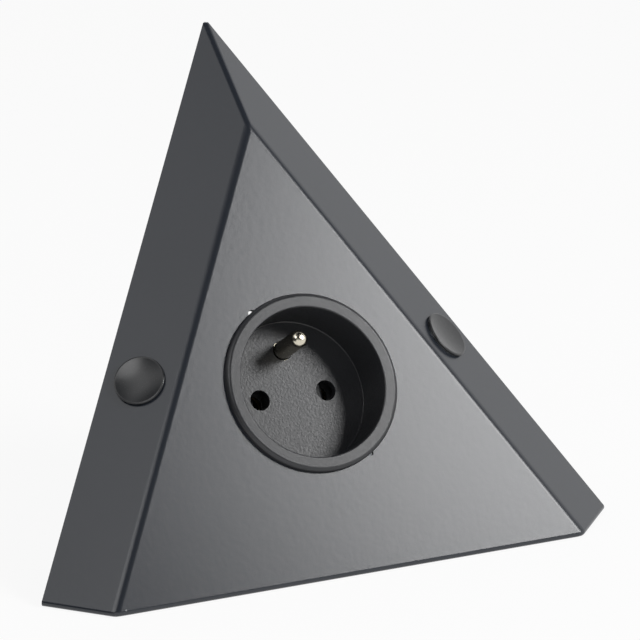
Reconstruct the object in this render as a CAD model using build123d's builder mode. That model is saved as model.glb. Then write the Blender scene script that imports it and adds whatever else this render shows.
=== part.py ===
from build123d import *
from math import atan2, cos, radians, sin, sqrt, tan
import os

os.makedirs("parts", exist_ok=True)

# Driving dimensions, in millimetres and degrees

# Room corner that the unit stands in: two walls at right angles and a worktop
base_width = 164.4
room_height = 124.5
rim_step = 12.1
wall_gap = 0.5

# Housing: one sheet of steel, folded, with its seams welded and ground
sheet = 1.2
fold_radius = 3.8
seam_radius = 2.0
tip_grind = 1.7
foot_radius = 1.0
foot_depth = 20.0

# Socket face: ring, plug recess and contact holes
socket_height = 52.0
ring_diameter = 47.7
ring_height = 1.7
ring_edge = 1.2
recess_edge = 0.35
recess_corner = 0.3
recess_diameter = 40.0
recess_depth = 14.2
tube_wall = 1.5
floor_thickness = 2.2
hole_spacing = 19.0
hole_diameter = 5.5
hole_clearance = 0.5

# Bayonet lugs of the socket, which enter by two notches and turn behind the plate
notch_angles = (120, 300)
lug_angles = (150, 330)
lug_width = 1.7
lug_reach = 2.6
lug_length = 5.0
lug_lip = 1.0
lug_gap = 0.1
notch_width = 2.0
notch_reach = 3.0

# Earth pin
pin_diameter = 4.8
pin_offset = 12.2
pin_length = 13.1
pin_neck = 5.2
pin_collar = 6.8
pin_shank = 3.6
pin_fit = 0.05
pin_foot = 1.6

# Shutter and its chamber under the recess floor
chamber_height = 4.0
shutter_travel = 3.2
shutter_clearance = 0.3
rail_inner = 3.2
rail_width = 1.6
rail_height = 2.4
pad_length = 6.0
low_pad_height = 1.4
pad_overlap = 0.1
pad_ramp = 0.7
stop_thickness = 1.3
stop_height = 2.2
guide_length = 17.0
guide_shift = -3.0
guide_thickness = 1.2
guide_height = 2.6
post_thickness = 1.5
post_width = 3.0
post_height = 3.3
post_inset = 0.25
spring_wire = 0.4
spring_diameter = 2.9
spring_turns = 6
spring_end_gap = 0.1

# Contact carrier, line contacts and terminals
carrier_height = 11.0
carrier_skin = 1.0
sleeve_wall = 0.75
sleeve_bore = 4.9
sleeve_slot = 0.8
contact_room = 0.3
strip = 1.0
contact_width = 7.0
block_room = 0.5
block_height = 6.0
wire_hole = 3.2
wire_height = 2.0
screw_diameter = 2.6
screw_room = 0.05
screw_head_diameter = 4.8
screw_head_height = 1.2
screw_length = 3.4
driver_slot = 0.8
driver_depth = 0.6

# Earth strap
strap_width = 7.0
strap_inner = 4.0
strap_room = 0.2
strap_gap = 0.4
strap_foot = 7.0
earth_block_gap = 2.5

# Terminal cover, its grommet and the case screws
cover_height = 10.5
cover_wall = 1.5
cover_edge = 1.0
cable_height = 2.5
grommet_waist = 10.0
grommet_lip = 13.0
grommet_lip_height = 1.5
cable_diameter = 7.8
grommet_edge = 0.5
case_screw_angles = (30, 150, 270)
case_screw_diameter = 2.8
case_screw_room = 0.2
case_screw_bite = 3.4
case_thread_room = 0.05
boss_diameter = 6.0
boss_sink = 0.4
post_diameter = 7.0
case_head_diameter = 5.4
case_head_height = 1.6
case_head_sink = 0.2
case_head_room = 0.25

# Housing screws, their cups and caps, in the flanks
cap_along = 64.3
cap_diameter = 13.4
cap_height = 0.7
cap_edge = 0.25
cap_rim = 0.35
cap_dish = 0.6
cap_back = 0.3
cap_skirt_diameter = 8.9
cap_skirt_wall = 0.5
cap_skirt_depth = 0.9
cup_flange_diameter = 12.6
cup_flange = 0.35
cup_diameter = 10.8
cup_bore = 9.1
cup_depth = 4.0
cup_bottom = 1.2
cup_room = 0.2
housing_screw_diameter = 4.0
housing_screw_length = 8.0
housing_head_diameter = 7.4
housing_head_height = 2.2
housing_head_edge = 0.9
housing_screw_room = 0.2
thread_room = 0.05
cross_width = 0.9
cross_span = 3.6
cross_depth = 1.1

# Wall brackets
bracket_sheet = 2.0
bracket_bend = 3.0
bracket_bend_run = 6.0
ear_width = 18.0
ear_reach = 17.0
leg_lead = 2.0
leg_foot = 34.0
wall_hole_diameter = 4.5
wall_hole_inset = 8.0
wall_hole_height = 9.0
bracket_corner = 2.0

# Planes of the housing, with the worktop at Z = 0 and the front towards -Y
half_base = base_width / 2
lean = atan2(room_height, half_base)
edge_setback = foot_radius * (1 / tan(lean / 2) - 1)
plate_run = rim_step / sin(lean)
depth = half_base + plate_run - edge_setback - sqrt(2) * wall_gap
back_y = depth / 2
corner_y = back_y + sqrt(2) * wall_gap
rim_y = corner_y - half_base
front_y = rim_y - plate_run
plate_normal = Vector(0, -sin(lean), cos(lean))
plate_plane = Plane(origin=(0, front_y, 0), x_dir=(1, 0, 0), z_dir=plate_normal)
sides = (("left", -1), ("right", 1))


def flank_plane(side):
    """Outer face of a flank: X climbs along the wall, and Y is square to the wall."""
    return Plane(
        origin=(side * half_base, rim_y, 0),
        x_dir=(-side * half_base, half_base, room_height),
        z_dir=(side * room_height, -room_height, base_width),
    )


def wall_plane(side):
    """Face of a wall: X runs along the wall from the corner, Y is up, Z points into the room."""
    along = Vector(side, -1, 0)
    inward = Vector(-side, -1, 0)
    x_dir = along if side > 0 else -along
    return Plane(origin=(0, corner_y, 0), x_dir=x_dir, z_dir=inward)


def lies_on(plane, edge):
    """Whether both ends and the middle of an edge lie on a plane."""
    return all(abs(plane.to_local_coords(edge @ share).Z) < 1e-3 for share in (0, 0.5, 1))


def shared_edges(solid, first, second):
    """Edges of a solid that lie on both of two planes."""
    return [edge for edge in solid.edges() if lies_on(first, edge) and lies_on(second, edge)]


def rims(solid, plane, diameter):
    """Circular edges of one diameter that lie in a plane."""
    circles = solid.edges().filter_by(GeomType.CIRCLE)
    return [edge for edge in circles if lies_on(plane, edge) and abs(2 * edge.radius - diameter) < 1e-3]


def corner_form(inset, vertex_y, floor):
    """Solid behind the plate and the flanks, with each of those faces moved inwards by inset."""
    span = corner_y - front_y + base_width
    plate = plate_plane.offset(-inset)
    flanks = [flank_plane(side).offset(-inset) for name, side in sides]
    worktop = Plane.XY.offset(floor)
    with BuildPart() as form:
        with BuildSketch(worktop):
            with BuildLine():
                Polyline((0, vertex_y), (span, vertex_y - span), (-span, vertex_y - span), close=True)
            make_face()
        extrude(amount=2 * room_height)
        for plane in (plate, flanks[0], flanks[1]):
            split(bisect_by=plane, keep=Keep.BOTTOM)
        fillet(shared_edges(form, plate, flanks[0]) + shared_edges(form, plate, flanks[1]), fold_radius - inset)
        if seam_radius > inset:
            fillet(shared_edges(form, flanks[0], flanks[1]), seam_radius - inset)
        if foot_radius > inset:
            walls = [Plane(origin=(0, vertex_y, 0), z_dir=(side, 1, 0)) for name, side in sides]
            outline = [edge for edge in form.edges() if lies_on(worktop, edge)]
            foot = [edge for edge in outline if not lies_on(walls[0], edge) and not lies_on(walls[1], edge)]
            fillet(foot, foot_radius - inset)
    return form.part


# Socket frame: on the outer face of the plate, X to the right, Y up the plate, Z outwards
socket_plane = Plane(
    origin=plate_plane.from_local_coords((0, socket_height, 0)),
    x_dir=(1, 0, 0),
    z_dir=plate_normal,
)
socket_axis = Axis(socket_plane.origin, socket_plane.z_dir)
tube_diameter = recess_diameter + 2 * tube_wall
plate_hole = tube_diameter + 2 * hole_clearance
floor_top = ring_height - recess_depth
floor_under = floor_top - floor_thickness
carrier_top = floor_under - chamber_height
carrier_end = carrier_top - carrier_height
contact_rear = carrier_end - strip
block_rear = contact_rear - block_height
cover_inner = carrier_end - cover_height + cover_wall
cover_rear = carrier_end - cover_height
hole_x = hole_spacing / 2


def section_plane(angle):
    """Plane through the socket's axis: X is the radius at an angle, and Y is the axis."""
    radius = socket_plane.x_dir * cos(radians(angle)) + socket_plane.y_dir * sin(radians(angle))
    return Plane(origin=socket_plane.origin, x_dir=radius, z_dir=radius.cross(socket_plane.z_dir))


def turned_section(plane):
    """Plane that holds a plane's Z axis as its own Y axis, for turned profiles."""
    return Plane(origin=plane.origin, x_dir=plane.x_dir, z_dir=plane.x_dir.cross(plane.z_dir))


def plane_at(plane, x, y):
    """The same plane with its origin moved to a point of it."""
    return Plane(origin=plane.from_local_coords((x, y, 0)), x_dir=plane.x_dir, z_dir=plane.z_dir)


recess_radius = recess_diameter / 2
tube_radius = tube_diameter / 2
case_screw_radius = recess_radius - boss_diameter / 2 + boss_sink
case_screw_points = [
    (case_screw_radius * cos(radians(angle)), case_screw_radius * sin(radians(angle)))
    for angle in case_screw_angles
]

# Outside of the sheet with its tip ground blunt, its inside, and the floor behind the foot,
# which stays open for the cable
foot_end = front_y + foot_depth
blunt_top = Plane.XY.offset(room_height - tip_grind)
outside = split(corner_form(0, back_y, 0), bisect_by=blunt_top, keep=Keep.BOTTOM)
inside = corner_form(sheet, back_y + base_width, sheet)
floor_form = corner_form(sheet, back_y + base_width, -sheet)
open_floor = split(floor_form, bisect_by=Plane(origin=(0, foot_end, 0), z_dir=(0, 1, 0)), keep=Keep.TOP)

# Housing: plate, two flanks and a foot along the worktop, open towards the corner
flank_width = sqrt(2) * plate_run
flank_hole = cup_diameter + 2 * cup_room
notch_end = tube_radius + notch_reach - notch_width / 2
with BuildPart() as housing:
    add(outside)
    add(inside, mode=Mode.SUBTRACT)
    add(open_floor, mode=Mode.SUBTRACT)
    with BuildSketch(socket_plane.offset(sheet)):
        Circle(plate_hole / 2)
        for angle in notch_angles:
            with PolarLocations(notch_end / 2, 1, start_angle=angle):
                SlotCenterToCenter(notch_end, notch_width)
    extrude(amount=-3 * sheet, mode=Mode.SUBTRACT)
    for name, side in sides:
        with BuildSketch(flank_plane(side).offset(sheet)):
            with Locations((cap_along, side * flank_width / 2)):
                Circle(flank_hole / 2)
        extrude(amount=-3 * sheet, mode=Mode.SUBTRACT)
housing.part.label = "housing"
export_step(housing.part, "parts/housing.step")

# Socket body: ring, recess, floor with its holes, screw bosses and bayonet lugs in one moulding
with BuildPart() as socket_body:
    with BuildSketch(section_plane(0)):
        with BuildLine():
            Polyline(
                (0, floor_top),
                (recess_radius, floor_top),
                (recess_radius, ring_height),
                (ring_diameter / 2, ring_height),
                (ring_diameter / 2, 0),
                (tube_radius, 0),
                (tube_radius, carrier_top),
                (recess_radius, carrier_top),
                (recess_radius, floor_under),
                (0, floor_under),
                close=True,
            )
        make_face()
    revolve(axis=socket_axis)
    fillet(rims(socket_body, socket_plane.offset(ring_height), ring_diameter), ring_edge)
    fillet(rims(socket_body, socket_plane.offset(ring_height), recess_diameter), recess_edge)
    fillet(rims(socket_body, socket_plane.offset(floor_top), recess_diameter), recess_corner)
    with BuildSketch(socket_plane.offset(floor_under)):
        with Locations(*case_screw_points):
            Circle(boss_diameter / 2)
    extrude(amount=-chamber_height)
    with BuildSketch(socket_plane.offset(carrier_top)):
        with Locations(*case_screw_points):
            Circle(case_screw_diameter / 2 + case_thread_room)
    extrude(amount=case_screw_bite + case_thread_room, mode=Mode.SUBTRACT)
    with BuildSketch(socket_plane.offset(floor_top)):
        with Locations((-hole_x, 0), (hole_x, 0)):
            Circle(hole_diameter / 2)
        with Locations((0, pin_offset)):
            Circle(pin_neck / 2 + pin_fit)
    extrude(amount=-floor_thickness, mode=Mode.SUBTRACT)
    for angle in lug_angles:
        lug_top = -sheet - lug_gap
        with BuildSketch(section_plane(angle)):
            with BuildLine():
                Polyline(
                    (tube_radius - tube_wall / 2, lug_top),
                    (tube_radius + lug_reach, lug_top),
                    (tube_radius + lug_reach, lug_top - lug_lip),
                    (tube_radius, lug_top - lug_length),
                    (tube_radius - tube_wall / 2, lug_top - lug_length),
                    close=True,
                )
            make_face()
        extrude(amount=lug_width / 2, both=True)
socket_body.part.label = "socket_body"
export_step(socket_body.part, "parts/socket_body.step")

# Earth pin: round nose, a neck in the floor, a collar in the chamber and a shank through the strap
pin_plane = plane_at(socket_plane, 0, pin_offset)
pin_radius = pin_diameter / 2
pin_tip = floor_top + pin_length
pin_end = carrier_top - strip - pin_foot
with BuildPart() as earth_pin:
    with BuildSketch(turned_section(pin_plane)):
        with BuildLine():
            CenterArc((0, pin_tip - pin_radius), pin_radius, 0, 90)
            Polyline(
                (0, pin_tip),
                (0, pin_end),
                (pin_shank / 2, pin_end),
                (pin_shank / 2, carrier_top),
                (pin_collar / 2, carrier_top),
                (pin_collar / 2, floor_under),
                (pin_neck / 2, floor_under),
                (pin_neck / 2, floor_top),
                (pin_radius, floor_top),
                (pin_radius, pin_tip - pin_radius),
            )
        make_face()
    revolve(axis=Axis(pin_plane.origin, pin_plane.z_dir))
earth_pin.part.label = "earth_pin"
export_step(earth_pin.part, "parts/earth_pin.step")

# Shutter: two pads on a pair of rails, one close under its hole and one deeper
shutter_bottom = carrier_top + shutter_clearance
shutter_top = floor_under - shutter_clearance
shutter_half = rail_inner + rail_width
right_end = hole_x + pad_overlap
right_start = right_end - pad_length
left_end = -hole_x + pad_overlap
left_start = left_end - pad_length
with BuildPart() as shutter:
    with BuildSketch(section_plane(0)):
        with BuildLine():
            Polyline(
                (right_start, shutter_bottom),
                (right_end, shutter_bottom),
                (right_end, shutter_top - pad_ramp),
                (right_end - pad_ramp, shutter_top),
                (right_start, shutter_top),
                close=True,
            )
        make_face()
        with BuildLine():
            Polyline(
                (left_start, shutter_bottom),
                (left_end, shutter_bottom),
                (left_end, shutter_bottom + low_pad_height - pad_ramp),
                (left_end - pad_ramp, shutter_bottom + low_pad_height),
                (left_start, shutter_bottom + low_pad_height),
                close=True,
            )
        make_face()
    extrude(amount=shutter_half, both=True)
    with BuildSketch(socket_plane.offset(shutter_bottom)):
        rail_y = rail_inner + rail_width / 2
        with Locations(((left_start + right_end) / 2, rail_y), ((left_start + right_end) / 2, -rail_y)):
            Rectangle(right_end - left_start, rail_width)
    extrude(amount=rail_height)
shutter.part.label = "shutter"
export_step(shutter.part, "parts/shutter.step")

# Shutter spring: a coil from the carrier's post to the right pad
post_end = -hole_x + hole_diameter / 2 + post_inset + post_thickness
coil_start = post_end + spring_end_gap + spring_wire / 2
coil_length = right_start - spring_end_gap - spring_wire / 2 - coil_start
coil_level = shutter_bottom + spring_diameter / 2
coil_radius = (spring_diameter - spring_wire) / 2
coil_base = socket_plane.from_local_coords((coil_start, 0, coil_level))
with BuildPart() as shutter_spring:
    with BuildLine() as coil:
        Helix(
            pitch=coil_length / spring_turns,
            height=coil_length,
            radius=coil_radius,
            center=coil_base,
            direction=socket_plane.x_dir,
        )
    with BuildSketch(Plane(origin=coil.line @ 0, z_dir=coil.line % 0)):
        Circle(spring_wire / 2)
    sweep(path=coil.line, is_frenet=True)
shutter_spring.part.label = "shutter_spring"
export_step(shutter_spring.part, "parts/shutter_spring.step")

# Contact carrier: closes the chamber, guides the shutter and holds the contacts
sleeve_radius = sleeve_bore / 2 + sleeve_wall
cover_bore = tube_radius - cover_wall
block_side = hole_x + contact_width / 2
terminal_drop = sqrt((cover_bore - block_room) ** 2 - block_side**2) - contact_width / 2
strap_block = cover_bore - earth_block_gap - contact_width / 2
strap_start = pin_offset - strap_inner
strap_end = tube_radius + strap_gap + strip
leg_end = strap_block + contact_width / 2
guide_y = shutter_half + shutter_clearance + guide_thickness / 2
with BuildPart() as contact_carrier:
    with BuildSketch(socket_plane.offset(carrier_top)):
        Circle(tube_radius)
    extrude(amount=-carrier_height)
    with BuildSketch(socket_plane.offset(carrier_top)):
        with Locations((guide_shift, guide_y), (guide_shift, -guide_y)):
            Rectangle(guide_length, guide_thickness)
    extrude(amount=guide_height)
    with BuildSketch(socket_plane.offset(carrier_top)):
        stop_x = right_end + shutter_clearance + stop_thickness / 2
        with Locations((stop_x, rail_y), (stop_x, -rail_y)):
            Rectangle(stop_thickness, rail_width)
    extrude(amount=stop_height)
    with BuildSketch(socket_plane.offset(carrier_top)):
        with Locations((post_end - post_thickness / 2, 0)):
            Rectangle(post_thickness, post_width)
    extrude(amount=post_height)
    with BuildSketch(socket_plane.offset(carrier_top)):
        with Locations((-hole_x, 0), (hole_x, 0)):
            Circle(hole_diameter / 2)
        with Locations(*case_screw_points):
            Circle(case_screw_diameter / 2 + case_screw_room)
        with Locations((0, leg_end - strip / 2)):
            Rectangle(strap_width + 2 * strap_room, strip + 2 * strap_room)
    extrude(amount=-carrier_height, mode=Mode.SUBTRACT)
    with BuildSketch(socket_plane.offset(carrier_end)):
        with Locations((-hole_x, 0), (hole_x, 0)):
            Circle(sleeve_radius + contact_room)
    extrude(amount=carrier_height - carrier_skin, mode=Mode.SUBTRACT)
    with BuildSketch(socket_plane.offset(carrier_top)):
        with Locations((0, (strap_start - strap_room + 2 * tube_radius) / 2)):
            Rectangle(strap_width + 2 * strap_room, 2 * tube_radius - strap_start + strap_room)
    extrude(amount=-strip, mode=Mode.SUBTRACT)
    with BuildSketch(socket_plane.offset(carrier_top)):
        with Locations((0, pin_offset)):
            Circle(pin_shank / 2 + pin_fit)
    extrude(amount=pin_end - carrier_top - pin_fit, mode=Mode.SUBTRACT)
contact_carrier.part.label = "contact_carrier"
export_step(contact_carrier.part, "parts/contact_carrier.step")

# Line contacts: a slotted sleeve under each hole, a foot and a terminal block
for name, side in sides:
    with BuildPart() as contact:
        with BuildSketch(socket_plane.offset(carrier_end)):
            with Locations((side * hole_x, 0)):
                Circle(sleeve_radius)
                Circle(sleeve_bore / 2, mode=Mode.SUBTRACT)
                Rectangle(sleeve_slot, 3 * sleeve_radius, mode=Mode.SUBTRACT)
        extrude(amount=carrier_height - carrier_skin - contact_room)
        with BuildSketch(socket_plane.offset(carrier_end)):
            with Locations((side * hole_x, -terminal_drop / 2)):
                Rectangle(contact_width, terminal_drop + contact_width)
        extrude(amount=-strip)
        with BuildSketch(socket_plane.offset(contact_rear)):
            with Locations((side * hole_x, -terminal_drop)):
                Rectangle(contact_width, contact_width)
        extrude(amount=-block_height)
        with BuildSketch(plane_at(section_plane(0), side * hole_x, contact_rear - wire_height)):
            Circle(wire_hole / 2)
        extrude(amount=2 * tube_radius, both=True, mode=Mode.SUBTRACT)
        with BuildSketch(socket_plane.offset(block_rear)):
            with Locations((side * hole_x, -terminal_drop)):
                Circle(screw_diameter / 2 + screw_room)
        extrude(amount=block_height - wire_height, mode=Mode.SUBTRACT)
    contact.part.label = f"contact_{name}"
    export_step(contact.part, f"parts/contact_{name}.step")

# Earth strap: from the pin out to the plate, and back to its terminal block
with BuildPart() as earth_strap:
    with BuildSketch(section_plane(90)):
        with BuildLine():
            Polyline(
                (strap_start, carrier_top),
                (strap_end - strip, carrier_top),
                (strap_end - strip, -sheet),
                (strap_end - strip + strap_foot, -sheet),
                (strap_end - strip + strap_foot, -sheet - strip),
                (strap_end, -sheet - strip),
                (strap_end, carrier_top - strip),
                (leg_end, carrier_top - strip),
                (leg_end, block_rear),
                (leg_end - contact_width, block_rear),
                (leg_end - contact_width, carrier_end),
                (leg_end - strip, carrier_end),
                (leg_end - strip, carrier_top - strip),
                (strap_start, carrier_top - strip),
                close=True,
            )
        make_face()
    extrude(amount=strap_width / 2, both=True)
    with BuildSketch(socket_plane.offset(carrier_top)):
        with Locations((0, pin_offset)):
            Circle(pin_shank / 2 + pin_fit)
    extrude(amount=-strip, mode=Mode.SUBTRACT)
    with BuildSketch(plane_at(section_plane(0), 0, contact_rear - wire_height)):
        Circle(wire_hole / 2)
    extrude(amount=2 * tube_radius, both=True, mode=Mode.SUBTRACT)
    with BuildSketch(socket_plane.offset(block_rear)):
        with Locations((0, strap_block)):
            Circle(screw_diameter / 2 + screw_room)
    extrude(amount=block_height - wire_height, mode=Mode.SUBTRACT)
earth_strap.part.label = "earth_strap"
export_step(earth_strap.part, "parts/earth_strap.step")

# Terminal screws, with slotted heads towards the rear
terminals = (("left", -hole_x, -terminal_drop), ("right", hole_x, -terminal_drop), ("earth", 0, strap_block))
for name, x, y in terminals:
    with BuildPart() as terminal_screw:
        with BuildSketch(plane_at(socket_plane, x, y).offset(block_rear)):
            Circle(screw_diameter / 2)
        extrude(amount=screw_length)
        with BuildSketch(plane_at(socket_plane, x, y).offset(block_rear)):
            Circle(screw_head_diameter / 2)
        extrude(amount=-screw_head_height)
        with BuildSketch(plane_at(socket_plane, x, y).offset(block_rear - screw_head_height)):
            Rectangle(screw_head_diameter, driver_slot)
        extrude(amount=driver_depth, mode=Mode.SUBTRACT)
    terminal_screw.part.label = f"terminal_screw_{name}"
    export_step(terminal_screw.part, f"parts/terminal_screw_{name}.step")

# Terminal cover: a cup over the terminals with three screw posts and the cable's way in
head_seat = cover_rear + case_head_sink + case_head_height
with BuildPart() as terminal_cover:
    with BuildSketch(socket_plane.offset(cover_rear)):
        Circle(tube_radius)
    extrude(amount=cover_height)
    fillet(rims(terminal_cover, socket_plane.offset(cover_rear), tube_diameter), cover_edge)
    with BuildSketch(socket_plane.offset(cover_inner)):
        Circle(cover_bore)
    extrude(amount=cover_height - cover_wall, mode=Mode.SUBTRACT)
    with BuildSketch(socket_plane.offset(cover_inner)):
        with Locations(*case_screw_points):
            Circle(post_diameter / 2)
    extrude(amount=cover_height - cover_wall)
    with BuildSketch(socket_plane.offset(cover_rear)):
        with Locations(*case_screw_points):
            Circle(case_screw_diameter / 2 + case_screw_room)
    extrude(amount=cover_height, mode=Mode.SUBTRACT)
    with BuildSketch(socket_plane.offset(cover_rear)):
        with Locations(*case_screw_points):
            Circle(case_head_diameter / 2 + case_head_room)
    extrude(amount=head_seat - cover_rear, mode=Mode.SUBTRACT)
    with BuildSketch(socket_plane.offset(cover_rear)):
        with Locations((0, cable_height)):
            Circle(grommet_waist / 2)
    extrude(amount=cover_wall, mode=Mode.SUBTRACT)
terminal_cover.part.label = "terminal_cover"
export_step(terminal_cover.part, "parts/terminal_cover.step")

# Cable grommet: a rubber ring with a groove for the cover's wall
cable_plane = plane_at(socket_plane, 0, cable_height)
with BuildPart() as cable_grommet:
    with BuildSketch(turned_section(cable_plane)):
        with BuildLine():
            Polyline(
                (cable_diameter / 2, cover_rear - grommet_lip_height),
                (grommet_lip / 2, cover_rear - grommet_lip_height),
                (grommet_lip / 2, cover_rear),
                (grommet_waist / 2, cover_rear),
                (grommet_waist / 2, cover_inner),
                (grommet_lip / 2, cover_inner),
                (grommet_lip / 2, cover_inner + grommet_lip_height),
                (cable_diameter / 2, cover_inner + grommet_lip_height),
                close=True,
            )
        make_face()
    revolve(axis=Axis(cable_plane.origin, cable_plane.z_dir))
    outer_lips = rims(cable_grommet, socket_plane.offset(cover_rear - grommet_lip_height), grommet_lip)
    inner_lips = rims(cable_grommet, socket_plane.offset(cover_inner + grommet_lip_height), grommet_lip)
    fillet(outer_lips + inner_lips, grommet_edge)
cable_grommet.part.label = "cable_grommet"
export_step(cable_grommet.part, "parts/cable_grommet.step")

# Case screws: through the cover and the carrier into the body's bosses
for number, (x, y) in enumerate(case_screw_points, start=1):
    with BuildPart() as case_screw:
        with BuildSketch(plane_at(socket_plane, x, y).offset(head_seat)):
            Circle(case_screw_diameter / 2)
        extrude(amount=carrier_top + case_screw_bite - head_seat)
        with BuildSketch(plane_at(socket_plane, x, y).offset(head_seat)):
            Circle(case_head_diameter / 2)
        extrude(amount=-case_head_height)
        with BuildSketch(plane_at(socket_plane, x, y).offset(head_seat - case_head_height)):
            Rectangle(case_head_diameter, driver_slot)
        extrude(amount=driver_depth, mode=Mode.SUBTRACT)
    case_screw.part.label = f"case_screw_{number}"
    export_step(case_screw.part, f"parts/case_screw_{number}.step")

# Screw cups in the flank holes, and the screws sunk in them
cup_floor = cup_bottom - cup_depth
for name, side in sides:
    screw_plane = plane_at(flank_plane(side), cap_along, side * flank_width / 2)
    screw_axis = Axis(screw_plane.origin, screw_plane.z_dir)
    with BuildPart() as screw_cup:
        with BuildSketch(turned_section(screw_plane)):
            with BuildLine():
                Polyline(
                    (cup_bore / 2, cup_flange),
                    (cup_flange_diameter / 2, cup_flange),
                    (cup_flange_diameter / 2, 0),
                    (cup_diameter / 2, 0),
                    (cup_diameter / 2, -cup_depth),
                    (housing_screw_diameter / 2 + housing_screw_room, -cup_depth),
                    (housing_screw_diameter / 2 + housing_screw_room, cup_floor),
                    (cup_bore / 2, cup_floor),
                    close=True,
                )
            make_face()
        revolve(axis=screw_axis)
    screw_cup.part.label = f"screw_cup_{name}"
    export_step(screw_cup.part, f"parts/screw_cup_{name}.step")

    with BuildPart() as housing_screw:
        with BuildSketch(screw_plane.offset(cup_floor)):
            Circle(housing_screw_diameter / 2)
        extrude(amount=-housing_screw_length)
        with BuildSketch(screw_plane.offset(cup_floor)):
            Circle(housing_head_diameter / 2)
        extrude(amount=housing_head_height)
        head_top = screw_plane.offset(cup_floor + housing_head_height)
        fillet(rims(housing_screw, head_top, housing_head_diameter), housing_head_edge)
        with BuildSketch(head_top):
            Rectangle(cross_span, cross_width)
            Rectangle(cross_width, cross_span)
        extrude(amount=-cross_depth, mode=Mode.SUBTRACT)
    housing_screw.part.label = f"housing_screw_{name}"
    export_step(housing_screw.part, f"parts/housing_screw_{name}.step")

    cap_top = cup_flange + cap_height
    cap_radius = cap_diameter / 2
    skirt_radius = cap_skirt_diameter / 2
    with BuildPart() as cap:
        with BuildSketch(turned_section(screw_plane)):
            with BuildLine():
                ThreePointArc(
                    (cap_rim - cap_radius, cap_top),
                    (0, cap_top - cap_dish),
                    (cap_radius - cap_rim, cap_top),
                )
                Polyline(
                    (cap_radius - cap_rim, cap_top),
                    (cap_radius, cap_top),
                    (cap_radius, cup_flange),
                    (-cap_radius, cup_flange),
                    (-cap_radius, cap_top),
                    (cap_rim - cap_radius, cap_top),
                )
            make_face()
            split(bisect_by=Plane.YZ, keep=Keep.TOP)
        revolve(axis=screw_axis)
        with BuildSketch(screw_plane.offset(cup_flange)):
            Circle(skirt_radius)
        extrude(amount=-cap_back)
        with BuildSketch(screw_plane.offset(cup_flange)):
            Circle(skirt_radius)
            Circle(skirt_radius - cap_skirt_wall, mode=Mode.SUBTRACT)
        extrude(amount=-cap_skirt_depth)
        fillet(rims(cap, screw_plane.offset(cap_top), cap_diameter), cap_edge)
    cap.part.label = f"cap_{name}"
    export_step(cap.part, f"parts/cap_{name}.step")

# Wall brackets: a leg screwed to the wall and standing on the worktop, and an ear under the flank
for name, side in sides:
    wall = wall_plane(side)
    ear_face = flank_plane(side).offset(-cup_depth)
    ear_end = ear_face.offset(-bracket_bend_run)
    upper, lower = cap_along + ear_width / 2, cap_along - ear_width / 2
    bend_corners = [
        wall.to_local_coords(plane.from_local_coords((along, 0, 0)))
        for plane, along in ((ear_end, upper), (ear_face, upper), (ear_face, lower), (ear_end, lower))
    ]
    leg_front = abs(bend_corners[2].X) + leg_lead
    with BuildPart() as wall_bracket:
        with BuildSketch(wall) as leg:
            with BuildLine():
                Polyline(
                    *[(corner.X, corner.Y) for corner in bend_corners],
                    (side * leg_front, 0),
                    (side * (leg_front - leg_foot), 0),
                    close=True,
                )
            make_face()
            fillet(leg.vertices().sort_by(Axis.Y)[:2], bracket_corner)
            with Locations(
                (side * (leg_front - wall_hole_inset), wall_hole_height),
                (side * (leg_front - leg_foot + wall_hole_inset), wall_hole_height),
            ):
                Circle(wall_hole_diameter / 2, mode=Mode.SUBTRACT)
        extrude(amount=bracket_sheet)
        with BuildSketch(ear_face):
            with Locations((cap_along, side * ear_reach / 2)):
                Rectangle(ear_width, ear_reach)
        extrude(amount=-bracket_sheet)
        inner_edges = shared_edges(wall_bracket, wall.offset(bracket_sheet), ear_face.offset(-bracket_sheet))
        fillet(inner_edges, bracket_bend - bracket_sheet)
        fillet(shared_edges(wall_bracket, wall, ear_face), bracket_bend)
        with BuildSketch(ear_face):
            with Locations((cap_along, side * flank_width / 2)):
                Circle(housing_screw_diameter / 2 + thread_room)
        extrude(amount=-bracket_sheet, mode=Mode.SUBTRACT)
    wall_bracket.part.label = f"wall_bracket_{name}"
    export_step(wall_bracket.part, f"parts/wall_bracket_{name}.step")
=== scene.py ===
"""Corner power socket, dressed for its photograph.

The finishes of the CAD pieces, the small turned, wound and moulded pieces that are made anew,
the studio and the camera. Lengths are in millimetres, except where a docstring says otherwise.
"""

import logging
import math
from collections.abc import Callable
from dataclasses import dataclass
from enum import Enum
from functools import cached_property

import bmesh
import bpy
from mathutils import Matrix, Vector


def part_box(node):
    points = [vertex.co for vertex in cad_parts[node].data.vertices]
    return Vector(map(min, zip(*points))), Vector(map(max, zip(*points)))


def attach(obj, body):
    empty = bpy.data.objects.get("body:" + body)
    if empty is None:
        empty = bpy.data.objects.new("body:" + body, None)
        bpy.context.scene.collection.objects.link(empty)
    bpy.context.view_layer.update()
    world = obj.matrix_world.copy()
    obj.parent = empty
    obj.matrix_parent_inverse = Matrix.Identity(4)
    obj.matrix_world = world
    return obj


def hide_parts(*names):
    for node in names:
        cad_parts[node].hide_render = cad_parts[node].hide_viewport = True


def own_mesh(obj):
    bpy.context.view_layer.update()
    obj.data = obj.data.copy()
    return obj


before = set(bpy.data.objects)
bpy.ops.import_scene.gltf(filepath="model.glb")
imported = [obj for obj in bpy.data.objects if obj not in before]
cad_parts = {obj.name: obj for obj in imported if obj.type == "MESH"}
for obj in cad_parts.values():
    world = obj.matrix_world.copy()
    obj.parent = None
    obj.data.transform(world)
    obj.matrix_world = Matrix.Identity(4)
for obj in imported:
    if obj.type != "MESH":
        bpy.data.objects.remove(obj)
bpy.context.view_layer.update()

MM = 0.001
TINY = 1e-6
WHITE = "#ffffff"
LOG = logging.getLogger("corner_socket")

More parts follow.
